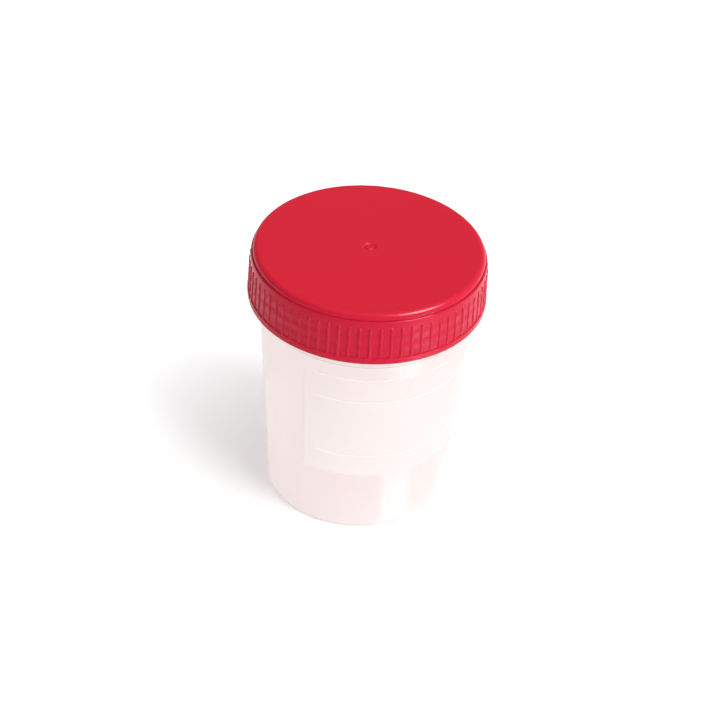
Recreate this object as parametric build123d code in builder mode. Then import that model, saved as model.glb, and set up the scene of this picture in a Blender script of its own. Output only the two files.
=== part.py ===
from build123d import *
import math
import os

# Urine specimen container: a tapered translucent cup, a ribbed screw lid with a
# three-start thread, and a foam sealing disc under the lid's top.
# Millimetres, +Z up, the foot ring stands on Z = 0 and the writing panel faces -Y.

# Overall sizes
total_height = 78.0
lid_height = 15.0
band_radius = 32.5
foot_radius = 25.3
shoulder_radius = 29.05
collar_low = 59.4

# Cup
wall = 1.1
floor_thickness = 1.2
foot_recess_depth = 1.2
foot_recess_radius = 23.0
foot_rounding = 1.8
inner_corner_rounding = 2.0
collar_radius = 29.5
collar_top = 62.8
collar_chamfer = 0.3
neck_radius = 29.2
neck_bore = 27.95
rim_rounding = 0.3
base_gate_radius = 1.4
base_gate_height = 0.5

# Writing panel: a slightly raised, frosted field on the front of the cup
panel_arc = 130.0
panel_low = 20.3
panel_top = 54.6
panel_relief = 0.1
rule_heights = (27.0, 46.4)
rule_arc = 116.0
rule_width = 0.45
rule_relief = 0.1

# Volume scale on the back of the cup
scale_step_ml = 10
scale_full_ml = 100
major_tick_arc = 16.0
minor_tick_arc = 9.0
tick_width = 0.5
scale_relief = 0.22
numeral_height = 3.2
numeral_width = 1.7
numeral_advance = 2.7
numeral_stroke = 0.5
numeral_rounding = 0.5
numeral_turn = -17.0
numeral_reach = 2.0

# Three-start thread, shared by the neck and the lid
thread_starts = 3
thread_lead = 10.2
thread_first_azimuth = 131.0
lid_ridge_low = 66.0
lid_ridge_rise = 7.0
lid_ridge_height = 0.9
lid_ridge_base = 1.6
lid_ridge_crest = 0.8
neck_ridge_above_lid_ridge = 1.4
neck_ridge_rise = 5.6
neck_ridge_height = 0.95
neck_ridge_base = 1.7
neck_ridge_crest = 0.8
ridge_root_overlap = 0.3
ridge_run_in = 4.0

# Lid
lid_bore = 30.5
lid_mouth_chamfer = 0.5
seat_bore = 30.1
seat_low = 74.6
seat_slope = 0.4
ceiling_height = 76.6
bead_radius = 29.6
bead_low = 75.0
bead_high = 75.55
bead_slope = 0.15
band_height = 1.75
ledge_slope = 0.15
valley_radius_low = 32.16
valley_radius_high = 31.88
valley_top = 74.5
lid_shoulder_radius = 31.78
lid_shoulder_height = 76.15
lid_shoulder_rounding = 0.35
crease_height = 76.0
disc_radius = 31.3
disc_rounding = 1.4
edge_rounding = 0.2

# Gate mark at the centre of the lid: a low button inside a ring-shaped moat
gate_radius = 2.4
gate_lip_depth = 0.05
gate_outer_top = 1.95
gate_outer_foot = 1.55
gate_depth = 0.4
gate_button_foot = 1.25
gate_button_top = 0.9
gate_button_depth = 0.1
gate_rounding = 0.12

# Grip ribs round the lid: upright half-round bars with domed tops
rib_count = 72
rib_radius = 0.55
rib_crest_low = 32.46
rib_crest_high = 32.18
rib_low = 64.2
rib_end_drop = 0.35

# Sealing disc
liner_radius = 29.8
liner_thickness = 0.84
liner_gap = 0.03

cutter_overshoot = 2.0
front = -90.0
back = 90.0

lid_low = total_height - lid_height
rim_height = ceiling_height - liner_thickness - 2 * liner_gap
neck_ridge_low = lid_ridge_low + neck_ridge_above_lid_ridge
rib_dome_height = valley_top - rib_end_drop - rib_radius
rib_foot = Vector(rib_crest_low - rib_radius, 0, rib_low)
rib_dome = Vector(rib_crest_high - rib_radius, 0, rib_dome_height)

os.makedirs("parts", exist_ok=True)


def radial_plane(azimuth):
    """Upright plane through the axis; its X points outward at the azimuth, its Y up."""
    a = math.radians(azimuth)
    return Plane(origin=(0, 0, 0), x_dir=(math.cos(a), math.sin(a), 0),
                 z_dir=(math.sin(a), -math.cos(a), 0))


def tangent_plane(azimuth, radius, height):
    """Upright plane facing outward at the azimuth, at that radius and height."""
    a = math.radians(azimuth)
    return Plane(origin=(radius * math.cos(a), radius * math.sin(a), height),
                 x_dir=(-math.sin(a), math.cos(a), 0), z_dir=(math.cos(a), math.sin(a), 0))


def wall_radius(height):
    """Outer radius of the tapered body at a height."""
    return foot_radius + (shoulder_radius - foot_radius) * height / collar_low


floor_height = foot_recess_depth + floor_thickness
floor_bore = wall_radius(floor_height) - wall


def height_of_volume(millilitres):
    """Liquid level of a volume in the tapered bore, from the cone's volume."""
    slope = (neck_bore - floor_bore) / (collar_low - floor_height)
    cubed = floor_bore ** 3 + 3 * slope * millilitres * 1000 / math.pi
    return floor_height + (cubed ** (1 / 3) - floor_bore) / slope


def band_profile(low, high, proud):
    """Strip of the body's wall between two heights, standing proud of it."""
    return [(wall_radius(low) - ridge_root_overlap, low), (wall_radius(low) + proud, low),
            (wall_radius(high) + proud, high), (wall_radius(high) - ridge_root_overlap, high)]


def thread_ridge(root_radius, crest_radius, low, rise, base_width, crest_width):
    """One start of the thread, from azimuth 0; it runs in and out at its two ends."""
    outward = math.copysign(1, crest_radius - root_radius)
    buried_radius = root_radius - outward * ridge_root_overlap
    beyond_radius = crest_radius + outward * cutter_overshoot
    run_in = ridge_run_in * (beyond_radius - buried_radius) / (crest_radius - buried_radius)
    with BuildPart() as ridge:
        with BuildLine() as path:
            Helix(pitch=thread_lead, height=rise, radius=root_radius, center=(0, 0, low))
        with BuildSketch(Plane.XZ):
            with BuildLine():
                Polyline((buried_radius, low - base_width / 2), (crest_radius, low - crest_width / 2),
                         (crest_radius, low + crest_width / 2), (buried_radius, low + base_width / 2),
                         close=True)
            make_face()
        sweep(path=path.line, is_frenet=True)
        for turn, side in ((0, 1), (360 * rise / thread_lead, -1)):
            with BuildSketch(Plane.XY.rotated((0, 0, turn))):
                with BuildLine():
                    Polyline((buried_radius, 0), (beyond_radius, 0), (beyond_radius, side * run_in),
                             close=True)
                make_face()
            extrude(amount=total_height, mode=Mode.SUBTRACT)
    return ridge.part


# Numeral strokes on a grid one wide and two high; a stroke marked True is a closed loop
numeral_strokes = {
    "0": [(True, [(0, 0), (1, 0), (1, 2), (0, 2)])],
    "1": [(False, [(0.2, 1.5), (0.6, 2), (0.6, 0)])],
    "2": [(False, [(0, 2), (1, 2), (1, 1), (0, 0), (1, 0)])],
    "4": [(False, [(0.7, 0), (0.7, 2), (0, 0.6), (1, 0.6)])],
    "6": [(False, [(1, 2), (0, 2), (0, 0), (1, 0), (1, 1.1), (0, 1.1)])],
    "8": [(True, [(0, 0), (1, 0), (1, 1), (0, 1)]), (True, [(0, 1), (1, 1), (1, 2), (0, 2)])],
}
sharp_numerals = "124"

neck_ridge = thread_ridge(neck_radius, neck_radius + neck_ridge_height, neck_ridge_low,
                          neck_ridge_rise, neck_ridge_base, neck_ridge_crest)
lid_ridge = thread_ridge(lid_bore, lid_bore - lid_ridge_height, lid_ridge_low,
                         lid_ridge_rise, lid_ridge_base, lid_ridge_crest)

# Numerals of the volume scale
with BuildPart() as numerals:
    for volume in range(2 * scale_step_ml, scale_full_ml + 1, 2 * scale_step_ml):
        level = height_of_volume(volume)
        with BuildSketch(tangent_plane(back + numeral_turn, wall_radius(level) - numeral_reach, level)):
            for place, digit in enumerate(str(volume)):
                left = (place - len(str(volume)) / 2) * numeral_advance
                for closed, points in numeral_strokes[digit]:
                    corners = [(left + x * numeral_width, (y / 2 - 0.5) * numeral_height)
                               for x, y in points]
                    with BuildLine() as stroke:
                        if digit in sharp_numerals:
                            Polyline(*corners, close=closed)
                        else:
                            FilletPolyline(*corners, radius=numeral_rounding, close=closed)
                    trace(stroke.line, line_width=numeral_stroke)
        extrude(amount=2 * numeral_reach)
    with BuildSketch(Plane.XZ):
        with BuildLine():
            Polyline(*band_profile(floor_height, collar_low, scale_relief), close=True)
        make_face()
    revolve(axis=Axis.Z, mode=Mode.INTERSECT)

# Cup
with BuildPart() as cup:
    with BuildSketch(Plane.XZ) as cup_section:
        with BuildLine():
            Polyline((0, foot_recess_depth), (foot_recess_radius, foot_recess_depth),
                     (foot_recess_radius, 0), (foot_radius, 0),
                     (shoulder_radius, collar_low), (collar_radius - collar_chamfer, collar_low),
                     (collar_radius, collar_low + collar_chamfer), (collar_radius, collar_top),
                     (neck_radius, collar_top + collar_chamfer), (neck_radius, rim_height),
                     (neck_bore, rim_height), (neck_bore, collar_low),
                     (floor_bore, floor_height), (0, floor_height), close=True)
        make_face()
        foot_corner = cup_section.vertices().sort_by_distance((foot_radius, 0))[0]
        fillet(foot_corner, foot_rounding)
        floor_corner = cup_section.vertices().sort_by_distance((floor_bore, floor_height))[0]
        fillet(floor_corner, inner_corner_rounding)
        rim_corners = cup_section.vertices().group_by(Axis.Y)[-1]
        fillet(rim_corners, rim_rounding)
    revolve(axis=Axis.Z)
    with PolarLocations(0, thread_starts, start_angle=thread_first_azimuth):
        add(neck_ridge)
    with BuildSketch(Plane.XY.offset(foot_recess_depth)):
        Circle(base_gate_radius)
    extrude(amount=-base_gate_height)
    with BuildSketch(radial_plane(front - panel_arc / 2)):
        with BuildLine():
            Polyline(*band_profile(panel_low, panel_top, panel_relief), close=True)
        make_face()
    revolve(axis=Axis.Z, revolution_arc=panel_arc)
    for height in rule_heights:
        with BuildSketch(radial_plane(front - rule_arc / 2)):
            with BuildLine():
                Polyline(*band_profile(height, height + rule_width, panel_relief + rule_relief),
                         close=True)
            make_face()
        revolve(axis=Axis.Z, revolution_arc=rule_arc)
    for volume in range(scale_step_ml, scale_full_ml + 1, scale_step_ml):
        level = height_of_volume(volume)
        arc = minor_tick_arc if volume % (2 * scale_step_ml) else major_tick_arc
        with BuildSketch(radial_plane(back - major_tick_arc / 2)):
            with BuildLine():
                Polyline(*band_profile(level - tick_width / 2, level + tick_width / 2, scale_relief),
                         close=True)
            make_face()
        revolve(axis=Axis.Z, revolution_arc=arc)
    add(numerals.part)

# One grip rib, at azimuth 0
with BuildPart() as grip_rib:
    with BuildSketch(Plane(origin=rib_foot, z_dir=rib_dome - rib_foot)):
        Circle(rib_radius)
    extrude(amount=(rib_dome - rib_foot).length)
    with Locations(rib_dome):
        Sphere(rib_radius)

# Screw lid
with BuildPart() as screw_lid:
    with BuildSketch(Plane.XZ) as lid_section:
        with BuildLine():
            Polyline((disc_radius, total_height), (0, total_height),
                     (0, ceiling_height), (seat_bore, ceiling_height),
                     (seat_bore, bead_high), (bead_radius, bead_high - bead_slope),
                     (bead_radius, bead_low + bead_slope), (seat_bore, bead_low),
                     (seat_bore, seat_low), (lid_bore, seat_low - seat_slope),
                     (lid_bore, lid_low + lid_mouth_chamfer),
                     (lid_bore + lid_mouth_chamfer, lid_low), (band_radius, lid_low),
                     (band_radius, lid_low + band_height),
                     (valley_radius_low, lid_low + band_height + ledge_slope),
                     (valley_radius_high, valley_top), (lid_shoulder_radius, lid_shoulder_height),
                     (disc_radius, crease_height), close=True)
        make_face()
        top_corner = lid_section.vertices().sort_by_distance((disc_radius, total_height))[0]
        fillet(top_corner, disc_rounding)
        shoulder_corner = lid_section.vertices().sort_by_distance(
            (lid_shoulder_radius, lid_shoulder_height))[0]
        fillet(shoulder_corner, lid_shoulder_rounding)
        foot_edge = lid_section.vertices().sort_by_distance((band_radius, lid_low))[0]
        fillet(foot_edge, edge_rounding)
    revolve(axis=Axis.Z)
    with PolarLocations(0, rib_count):
        add(grip_rib.part)
    with PolarLocations(0, thread_starts, start_angle=thread_first_azimuth):
        add(lid_ridge)
    with BuildSketch(Plane.XZ) as gate_section:
        with BuildLine():
            Polyline((0, total_height - gate_button_depth),
                     (gate_button_top, total_height - gate_button_depth),
                     (gate_button_foot, total_height - gate_depth),
                     (gate_outer_foot, total_height - gate_depth),
                     (gate_outer_top, total_height - gate_lip_depth),
                     (gate_radius, total_height), (gate_radius, total_height + cutter_overshoot),
                     (0, total_height + cutter_overshoot), close=True)
        make_face()
        for radius, depth in ((gate_button_top, gate_button_depth), (gate_button_foot, gate_depth),
                              (gate_outer_foot, gate_depth), (gate_outer_top, gate_lip_depth)):
            fillet(gate_section.vertices().sort_by_distance((radius, total_height - depth))[0],
                   gate_rounding)
    revolve(axis=Axis.Z, mode=Mode.SUBTRACT)

# Sealing disc, resting on the cup's rim
with BuildPart() as seal_liner:
    with BuildSketch(Plane.XY.offset(rim_height + liner_gap)):
        Circle(liner_radius)
    extrude(amount=liner_thickness)

for name, piece in (("cup", cup), ("screw_lid", screw_lid), ("seal_liner", seal_liner)):
    piece.part.label = name
    export_step(piece.part, f"parts/{name}.step")
    print(name, "volume", round(piece.part.volume, 1), "solids", len(piece.part.solids()))
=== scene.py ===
import math

import bpy
from mathutils import Matrix, Vector

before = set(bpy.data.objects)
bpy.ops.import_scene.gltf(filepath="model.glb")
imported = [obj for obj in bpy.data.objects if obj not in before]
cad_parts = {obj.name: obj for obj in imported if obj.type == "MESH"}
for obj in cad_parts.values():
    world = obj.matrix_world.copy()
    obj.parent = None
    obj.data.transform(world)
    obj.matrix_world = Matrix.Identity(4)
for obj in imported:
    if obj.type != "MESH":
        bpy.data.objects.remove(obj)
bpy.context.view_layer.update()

MM = 0.001
VIEW_TURN = -33.0  # degrees about Z from the camera's own frame to the part's frame
WHITE = (1, 1, 1, 1)


def spin(degrees):
    return Matrix.Rotation(math.radians(degrees), 3, "Z")


def toward(azimuth, elevation):
    """Direction in the part's frame; azimuth is counted from the camera's side towards its right."""
    a, e = math.radians(azimuth), math.radians(elevation)
    return spin(VIEW_TURN) @ Vector((math.sin(a) * math.cos(e), -math.cos(a) * math.cos(e), math.sin(e)))


# ---- camera, at the photograph's angle
FOCAL_PX = 2140.81
IMAGE_PX = 720
SENSOR_MM = 36.0
CLIP_START = 10.0 * MM
CAMERA_DISTANCE = 595.84 * MM
CAMERA_ELEVATION = 37.18
CAMERA_ROLL = -3.75
SHIFT_RIGHT_PX, SHIFT_UP_PX = 2.25, 0.73
TARGET = Vector((0.0, 0.0, 40.0 * MM))

elevation = math.radians(CAMERA_ELEVATION)
roll = math.radians(CAMERA_ROLL)
turn = spin(VIEW_TURN)
back = turn @ Vector((0, -math.cos(elevation), math.sin(elevation)))
right = turn @ Vector((1, 0, 0))
up = back.cross(right)
camera_x = math.cos(roll) * right - math.sin(roll) * up
camera_y = math.sin(roll) * right + math.cos(roll) * up
per_pixel = CAMERA_DISTANCE / FOCAL_PX
place = (TARGET + back * CAMERA_DISTANCE
         - right * (SHIFT_RIGHT_PX * per_pixel) - up * (SHIFT_UP_PX * per_pixel))

camera_data = bpy.data.cameras.new("camera")
camera_data.sensor_width = SENSOR_MM
camera_data.sensor_height = SENSOR_MM
camera_data.sensor_fit = "HORIZONTAL"
camera_data.lens = FOCAL_PX / IMAGE_PX * SENSOR_MM
camera_data.clip_start = CLIP_START
camera = bpy.data.objects.new("camera", camera_data)
bpy.context.collection.objects.link(camera)
axes = Matrix((camera_x, camera_y, back)).transposed()
camera.matrix_world = Matrix.Translation(place) @ axes.to_4x4()
bpy.context.scene.camera = camera
bpy.context.scene.view_settings.view_transform = "Standard"


# ---- node helpers
class Nodes:
    """A small builder for a material's nodes."""

    def __init__(self, name):
        self.material = bpy.data.materials.new(name)
        self.material.use_nodes = True
        self.tree = self.material.node_tree
        self.tree.nodes.clear()
        self.coords = self.tree.nodes.new("ShaderNodeTexCoord").outputs["Object"]
        split = self.tree.nodes.new("ShaderNodeSeparateXYZ")
        self.tree.links.new(self.coords, split.inputs[0])
        self.x, self.y, self.z = split.outputs

    def put(self, socket, value):
        if isinstance(value, bpy.types.NodeSocket):
            self.tree.links.new(value, socket)
        else:
            socket.default_value = value

    def math(self, operation, *values):
        node = self.tree.nodes.new("ShaderNodeMath")
        node.operation = operation
        for socket, value in zip(node.inputs, values):
            self.put(socket, value)
        return node.outputs[0]

    def ramp(self, value, low, high):
        """0 at low to 1 at high, smoothly."""
        node = self.tree.nodes.new("ShaderNodeMapRange")
        node.interpolation_type = "SMOOTHSTEP"
        self.put(node.inputs["Value"], value)
        node.inputs["From Min"].default_value = low
        node.inputs["From Max"].default_value = high
        return node.outputs[0]

    def scaled(self, value, low, high):
        """low where value is 0 and high where it is 1."""
        return self.math("MULTIPLY_ADD", value, high - low, low)

    def radius(self):
        """Distance from the part's axis."""
        squares = self.math("ADD", self.math("MULTIPLY", self.x, self.x), self.math("MULTIPLY", self.y, self.y))
        return self.math("SQRT", squares)

    def azimuth(self):
        """Angle about the part's axis, 0 at -Y."""
        return self.math("ARCTAN2", self.x, self.math("MULTIPLY", self.y, -1.0))

    def noise(self, scale, detail):
        node = self.tree.nodes.new("ShaderNodeTexNoise")
        self.put(node.inputs["Vector"], self.coords)
        node.inputs["Scale"].default_value = scale
        node.inputs["Detail"].default_value = detail
        return node.outputs["Fac"]

    def mix_colour(self, factor, a, b):
        node = self.tree.nodes.new("ShaderNodeMix")
        node.data_type = "RGBA"
        self.put(node.inputs[0], factor)
        self.put(node.inputs[6], a)
        self.put(node.inputs[7], b)
        return node.outputs[2]

    def bump(self, height, strength, distance):
        node = self.tree.nodes.new("ShaderNodeBump")
        node.inputs["Strength"].default_value = strength
        node.inputs["Distance"].default_value = distance
        self.put(node.inputs["Height"], height)
        return node.outputs[0]

    def shader(self, kind, **inputs):
        node = self.tree.nodes.new(kind)
        for key, value in inputs.items():
            self.put(node.inputs[key.replace("_", " ")], value)
        return node.outputs[0]

    def mix(self, factor, a, b):
        node = self.tree.nodes.new("ShaderNodeMixShader")
        self.put(node.inputs[0], factor)
        self.put(node.inputs[1], a)
        self.put(node.inputs[2], b)
        return node.outputs[0]

    def done(self, shader):
        out = self.tree.nodes.new("ShaderNodeOutputMaterial")
        self.tree.links.new(shader, out.inputs["Surface"])
        return self.material


# ---- red lid
SKIRT_TOP, SHOULDER_FADE = 76.75 * MM, 1.2 * MM
DISC_REDS = (0.53, 0.008, 0.026, 1), (0.56, 0.011, 0.031, 1)
# the skirt's darker reds are painted shade on the lid's sides; the disc keeps the plain red
SHADED_SKIRT_REDS = (0.48, 0.006, 0.029, 1), (0.51, 0.008, 0.034, 1)
LID_CLOUD_SCALE, LID_GRAIN_SCALE, LID_GRAIN_SHARE = 60.0, 2600.0, 0.035
LID_ROUGH_LOW, LID_ROUGH_HIGH, LID_SPECULAR = 0.2, 0.26, 0.12
SINK_LEAD, SINK_PITCH, SINK_LEVEL = 10.2 * MM, 3.4 * MM, 69.9 * MM
SINK_LOW, SINK_HIGH, SINK_FADE, SINK_DEPTH = 65.8 * MM, 73.6 * MM, 1.6 * MM, 0.08 * MM


def lid_material():
    n = Nodes("red_satin_plastic")
    cloud = n.noise(LID_CLOUD_SCALE, 3.0)
    grain = n.noise(LID_GRAIN_SCALE, 2.0)
    disc = n.mix_colour(cloud, *DISC_REDS)
    shaded_skirt = n.mix_colour(cloud, *SHADED_SKIRT_REDS)
    # painted shade: the skirt below the disc takes the darker reds
    colour = n.mix_colour(n.ramp(n.z, SKIRT_TOP, SKIRT_TOP + SHOULDER_FADE), shaded_skirt, disc)
    # shallow sink marks over the thread, in bands that climb with it
    height = n.math("MULTIPLY_ADD", n.azimuth(), -SINK_LEAD / math.tau, n.z)
    bands = n.math("COSINE", n.math("MULTIPLY", n.math("SUBTRACT", height, SINK_LEVEL), math.tau / SINK_PITCH))
    within = n.math("MULTIPLY", n.ramp(n.z, SINK_LOW, SINK_LOW + SINK_FADE),
                    n.ramp(n.z, SINK_HIGH, SINK_HIGH - SINK_FADE))
    sinks = n.math("MULTIPLY", n.math("MULTIPLY", bands, within), -1.0)
    surface = n.math("MULTIPLY_ADD", grain, LID_GRAIN_SHARE, sinks)
    rough = n.scaled(cloud, LID_ROUGH_LOW, LID_ROUGH_HIGH)
    return n.done(n.shader("ShaderNodeBsdfPrincipled", Base_Color=colour, Roughness=rough,
                           Specular_IOR_Level=LID_SPECULAR, Normal=n.bump(surface, 1.0, SINK_DEPTH)))


# ---- translucent cup
FOOT_R, SHOULDER_R, SHOULDER_Z = 25.3 * MM, 29.05 * MM, 59.4 * MM
OUTER_DEPTH = 0.6 * MM  # nearer than this to the outside is the outer face
PANEL_LOW, PANEL_TOP, PANEL_HALF = 20.3 * MM, 54.6 * MM, math.radians(65.0)
PANEL_SOFT, PANEL_SOFT_ANGLE = 0.1 * MM, 0.004
# extent and colour of the painted shadow line under the collar
LEDGE_UNDER, LEDGE_OVER, LEDGE_SOFT = 0.3 * MM, 0.2 * MM, 0.15 * MM
LEDGE_PAINTED_SHADOW = (0.42, 0.4, 0.4, 1)
# the pink cast in these tints is painted red light from the lid; the milky white is the plastic's own
WALL_TINTS = (0.955, 0.93, 0.927, 1), (0.965, 0.945, 0.942, 1)
WALL_DEEP, CLEAR_TINT = (0.993, 0.965, 0.961, 1), (0.996, 0.97, 0.968, 1)
FROST_TINT, FROST_DEEP = (1.0, 0.992, 0.988, 1), (1.0, 0.988, 0.984, 1)
CUP_CLOUD_SCALE, CUP_GRAIN_SCALE = 90.0, 2200.0
WALL_GRAIN, GRAIN_STRENGTH, GRAIN_DEPTH = 0.1, 0.25, 0.04 * MM
CUP_ROUGHNESS, FROST_SPECULAR = 0.55, 0.5
WALL_THROUGH, FROST_THROUGH = 0.78, 0.7  # share of the body's light that comes through it
MILK_FACING, MILK_SLANT, FROST_MILK = 0.5, 0.6, 0.94
INNER_MILK = 0.06
MIRROR_FACING, MIRROR_SLANT, MIRROR_POWER = 0.09, 0.5, 5.0


def cup_material():
    n = Nodes("milky_polypropylene")
    slope = (SHOULDER_R - FOOT_R) / SHOULDER_Z
    wall = n.math("MINIMUM", n.math("MULTIPLY_ADD", n.z, slope, FOOT_R), SHOULDER_R)
    outer = n.math("GREATER_THAN", n.math("SUBTRACT", n.radius(), wall), -OUTER_DEPTH)
    across = n.ramp(n.math("ABSOLUTE", n.azimuth()), PANEL_HALF + PANEL_SOFT_ANGLE, PANEL_HALF - PANEL_SOFT_ANGLE)
    tall = n.math("MULTIPLY", n.ramp(n.z, PANEL_LOW - PANEL_SOFT, PANEL_LOW + PANEL_SOFT),
                  n.ramp(n.z, PANEL_TOP + PANEL_SOFT, PANEL_TOP - PANEL_SOFT))
    panel = n.math("MULTIPLY", across, tall)
    frost = n.math("MULTIPLY", panel, outer)
    # a painted shadow line under the collar, where the wall's shoulder ends
    ledge_shadow = n.math("MULTIPLY", n.ramp(n.z, SHOULDER_Z - LEDGE_UNDER, SHOULDER_Z - LEDGE_SOFT),
                   n.ramp(n.z, SHOULDER_Z + LEDGE_OVER, SHOULDER_Z))
    ledge_shadow = n.math("MULTIPLY", ledge_shadow, outer)
    cloud = n.noise(CUP_CLOUD_SCALE, 3.0)
    grain = n.noise(CUP_GRAIN_SCALE, 3.0)
    colour = n.mix_colour(frost, n.mix_colour(cloud, *WALL_TINTS), FROST_TINT)
    colour = n.mix_colour(ledge_shadow, colour, LEDGE_PAINTED_SHADOW)
    normal = n.bump(n.math("MULTIPLY", grain, n.scaled(frost, WALL_GRAIN, 1.0)), GRAIN_STRENGTH, GRAIN_DEPTH)
    skin = n.shader("ShaderNodeBsdfPrincipled", Base_Color=colour, Roughness=CUP_ROUGHNESS,
                    Specular_IOR_Level=n.scaled(frost, 0.0, FROST_SPECULAR), Normal=normal)
    deep = n.mix_colour(ledge_shadow, n.mix_colour(frost, WALL_DEEP, FROST_DEEP), LEDGE_PAINTED_SHADOW)
    through = n.shader("ShaderNodeBsdfTranslucent", Color=deep, Normal=normal)
    clear = n.shader("ShaderNodeBsdfTransparent", Color=CLEAR_TINT)
    body = n.mix(n.scaled(frost, WALL_THROUGH, FROST_THROUGH), skin, through)
    # a slanting look goes through more plastic, so the wall is milkier towards its outline
    slant = n.tree.nodes.new("ShaderNodeLayerWeight")
    slant.inputs["Blend"].default_value = 0.5
    facing = slant.outputs["Facing"]
    milk = n.math("MINIMUM", n.math("MULTIPLY_ADD", facing, MILK_SLANT, MILK_FACING), 1.0)
    milk = n.math("MAXIMUM", milk, n.math("MULTIPLY", frost, FROST_MILK))
    share = n.math("MULTIPLY", milk, n.scaled(outer, INNER_MILK, 1.0))
    # polished plastic mirrors a little everywhere, and more at a slant
    gloss = n.shader("ShaderNodeBsdfGlossy", Color=WHITE, Roughness=0.0)
    mirror = n.math("MULTIPLY_ADD", n.math("POWER", facing, MIRROR_POWER), MIRROR_SLANT, MIRROR_FACING)
    polished = n.math("MULTIPLY", outer, n.scaled(panel, 1.0, 0.0))
    return n.done(n.mix(n.math("MULTIPLY", mirror, polished), n.mix(share, clear, body), gloss))


# ---- foam sealing disc
FOAM_TINTS = (0.88, 0.88, 0.87, 1), (0.95, 0.95, 0.94, 1)
FOAM_SCALE, FOAM_ROUGHNESS, FOAM_STRENGTH, FOAM_DEPTH = 1500.0, 0.85, 0.4, 0.08 * MM


def liner_material():
    n = Nodes("white_foam")
    cells = n.noise(FOAM_SCALE, 4.0)
    return n.done(n.shader("ShaderNodeBsdfPrincipled", Base_Color=n.mix_colour(cells, *FOAM_TINTS),
                           Roughness=FOAM_ROUGHNESS, Normal=n.bump(cells, FOAM_STRENGTH, FOAM_DEPTH)))


for node, material in (("screw_lid", lid_material()), ("cup", cup_material()), ("seal_liner", liner_material())):
    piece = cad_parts[node]
    for index in range(len(piece.material_slots)):
        piece.material_slots[index].material = material

# ---- floor
FLOOR_HALF, FLOOR_DROP = 3.0, 0.02 * MM
FLOOR_COLOUR, FLOOR_ROUGHNESS, FLOOR_SPECULAR = (0.9, 0.9, 0.9, 1), 0.02, 0.7
# added brightness, in rings round the part, so that the background reads white and the shadow stays; the weaker
# glow close to the part is a painted contact shadow round its base
NEAR_FROM, NEAR_TO, CONTACT_SHADE_GLOW, WIDE_GLOW = 28 * MM, 85 * MM, 0.06, 0.28
FAR_FROM, FAR_TO, FAR_GLOW = 400 * MM, 1500 * MM, 0.5
THROUGH_GLOW = 0.25

floor_mesh = bpy.data.meshes.new("floor")
corners = [(x * FLOOR_HALF, y * FLOOR_HALF, -FLOOR_DROP) for x, y in ((-1, -1), (1, -1), (1, 1), (-1, 1))]
floor_mesh.from_pydata(corners, [], [(0, 1, 2, 3)])
floor = bpy.data.objects.new("floor", floor_mesh)
bpy.context.collection.objects.link(floor)
n = Nodes("white_table")
path = n.tree.nodes.new("ShaderNodeLightPath").outputs
reach = n.radius()
seen = n.math("MAXIMUM", path["Is Camera Ray"], path["Is Glossy Ray"])
# painted contact shadow: the glow is weaker close to the part
glow = n.math("MULTIPLY_ADD", n.ramp(reach, FAR_FROM, FAR_TO), FAR_GLOW,
              n.scaled(n.ramp(reach, NEAR_FROM, NEAR_TO), CONTACT_SHADE_GLOW, WIDE_GLOW))
glow = n.math("MULTIPLY_ADD", path["Is Transmission Ray"], THROUGH_GLOW, n.math("MULTIPLY", seen, glow))
table = n.shader("ShaderNodeBsdfPrincipled", Base_Color=FLOOR_COLOUR, Roughness=FLOOR_ROUGHNESS,
                 Specular_IOR_Level=FLOOR_SPECULAR)
lift = n.shader("ShaderNodeEmission", Color=WHITE, Strength=glow)
both = n.tree.nodes.new("ShaderNodeAddShader")
n.put(both.inputs[0], table)
n.put(both.inputs[1], lift)
floor_mesh.materials.append(n.done(both.outputs[0]))

# ---- world: brightest overhead and at the camera's right, plain white where the camera sees it
SKY_STOPS = ((0.0, 0.95), (0.1, 0.92), (0.24, 0.6), (0.72, 0.52), (0.86, 1.15), (1.0, 1.15))
SKY_SIDE, SKY_SIDE_GAIN, SKY_LEVEL = 60.0, 0.48, 1.04

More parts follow.
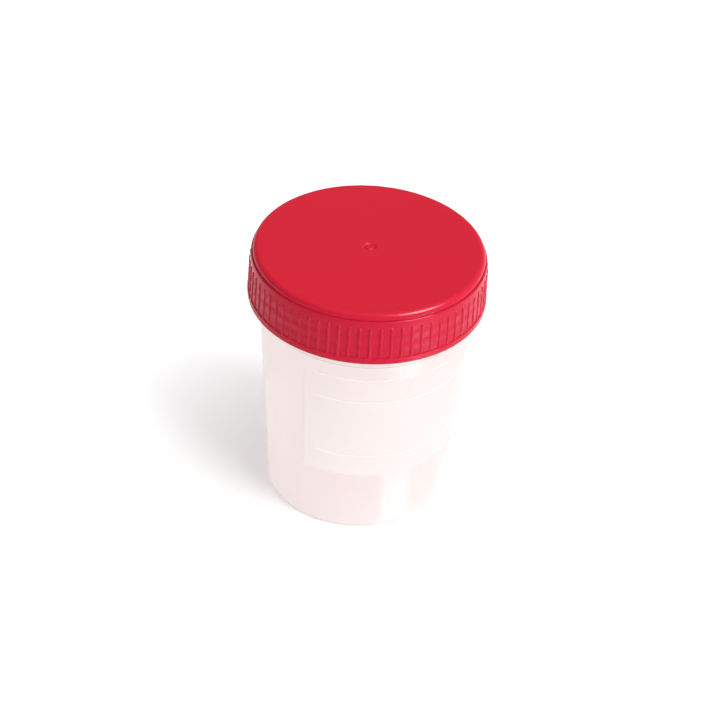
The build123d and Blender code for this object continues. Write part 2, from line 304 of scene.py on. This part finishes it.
world = bpy.data.worlds.new("studio")
bpy.context.scene.world = world
world.use_nodes = True
tree = world.node_tree
background = tree.nodes["Background"]
direction = tree.nodes.new("ShaderNodeTexCoord").outputs["Generated"]
split = tree.nodes.new("ShaderNodeSeparateXYZ")
tree.links.new(direction, split.inputs[0])
sky = tree.nodes.new("ShaderNodeValToRGB")
tree.links.new(split.outputs["Z"], sky.inputs[0])
while len(sky.color_ramp.elements) < len(SKY_STOPS):
    sky.color_ramp.elements.new(0.5)
for element, (position, grey) in zip(sky.color_ramp.elements, SKY_STOPS):
    element.position = position
    element.color = (grey, grey, grey, 1)
tree.links.new(sky.outputs[0], background.inputs["Color"])
side = tree.nodes.new("ShaderNodeVectorMath")
side.operation = "DOT_PRODUCT"
side.inputs[1].default_value = toward(SKY_SIDE, 0.0)
tree.links.new(direction, side.inputs[0])
level = tree.nodes.new("ShaderNodeMath")
level.operation = "MULTIPLY_ADD"
level.inputs[1].default_value = SKY_SIDE_GAIN
level.inputs[2].default_value = SKY_LEVEL
tree.links.new(side.outputs["Value"], level.inputs[0])
tree.links.new(level.outputs[0], background.inputs["Strength"])
backdrop = tree.nodes.new("ShaderNodeBackground")
backdrop.inputs["Color"].default_value = WHITE
backdrop.inputs["Strength"].default_value = 1.0
either = tree.nodes.new("ShaderNodeMixShader")
tree.links.new(tree.nodes.new("ShaderNodeLightPath").outputs["Is Camera Ray"], either.inputs[0])
tree.links.new(background.outputs[0], either.inputs[1])
tree.links.new(backdrop.outputs[0], either.inputs[2])
tree.links.new(either.outputs[0], tree.nodes["World Output"].inputs["Surface"])

# ---- lamps
LAMP_DISTANCE = 2.5
LAMP_AIM = Vector((0, 0, 50.0 * MM))


def softbox(name, azimuth, elevation, width, height, watts):
    data = bpy.data.lights.new(name, "AREA")
    data.shape = "RECTANGLE"
    data.size, data.size_y = width, height
    data.energy = watts
    lamp = bpy.data.objects.new(name, data)
    bpy.context.collection.objects.link(lamp)
    direction = toward(azimuth, elevation)
    lamp.location = LAMP_AIM + direction * LAMP_DISTANCE
    lamp.rotation_euler = direction.to_track_quat("Z", "Y").to_euler()
    return lamp


softbox("key", azimuth=54.0, elevation=43.0, width=1.3, height=2.0, watts=46.0)
glint = softbox("glint", azimuth=58.0, elevation=40.0, width=1.2, height=0.9, watts=180.0)
glint.visible_diffuse = False  # it gives only the highlights

cycles = bpy.context.scene.cycles
cycles.max_bounces = 24
cycles.diffuse_bounces = 12
cycles.transmission_bounces = 16
cycles.transparent_max_bounces = 24
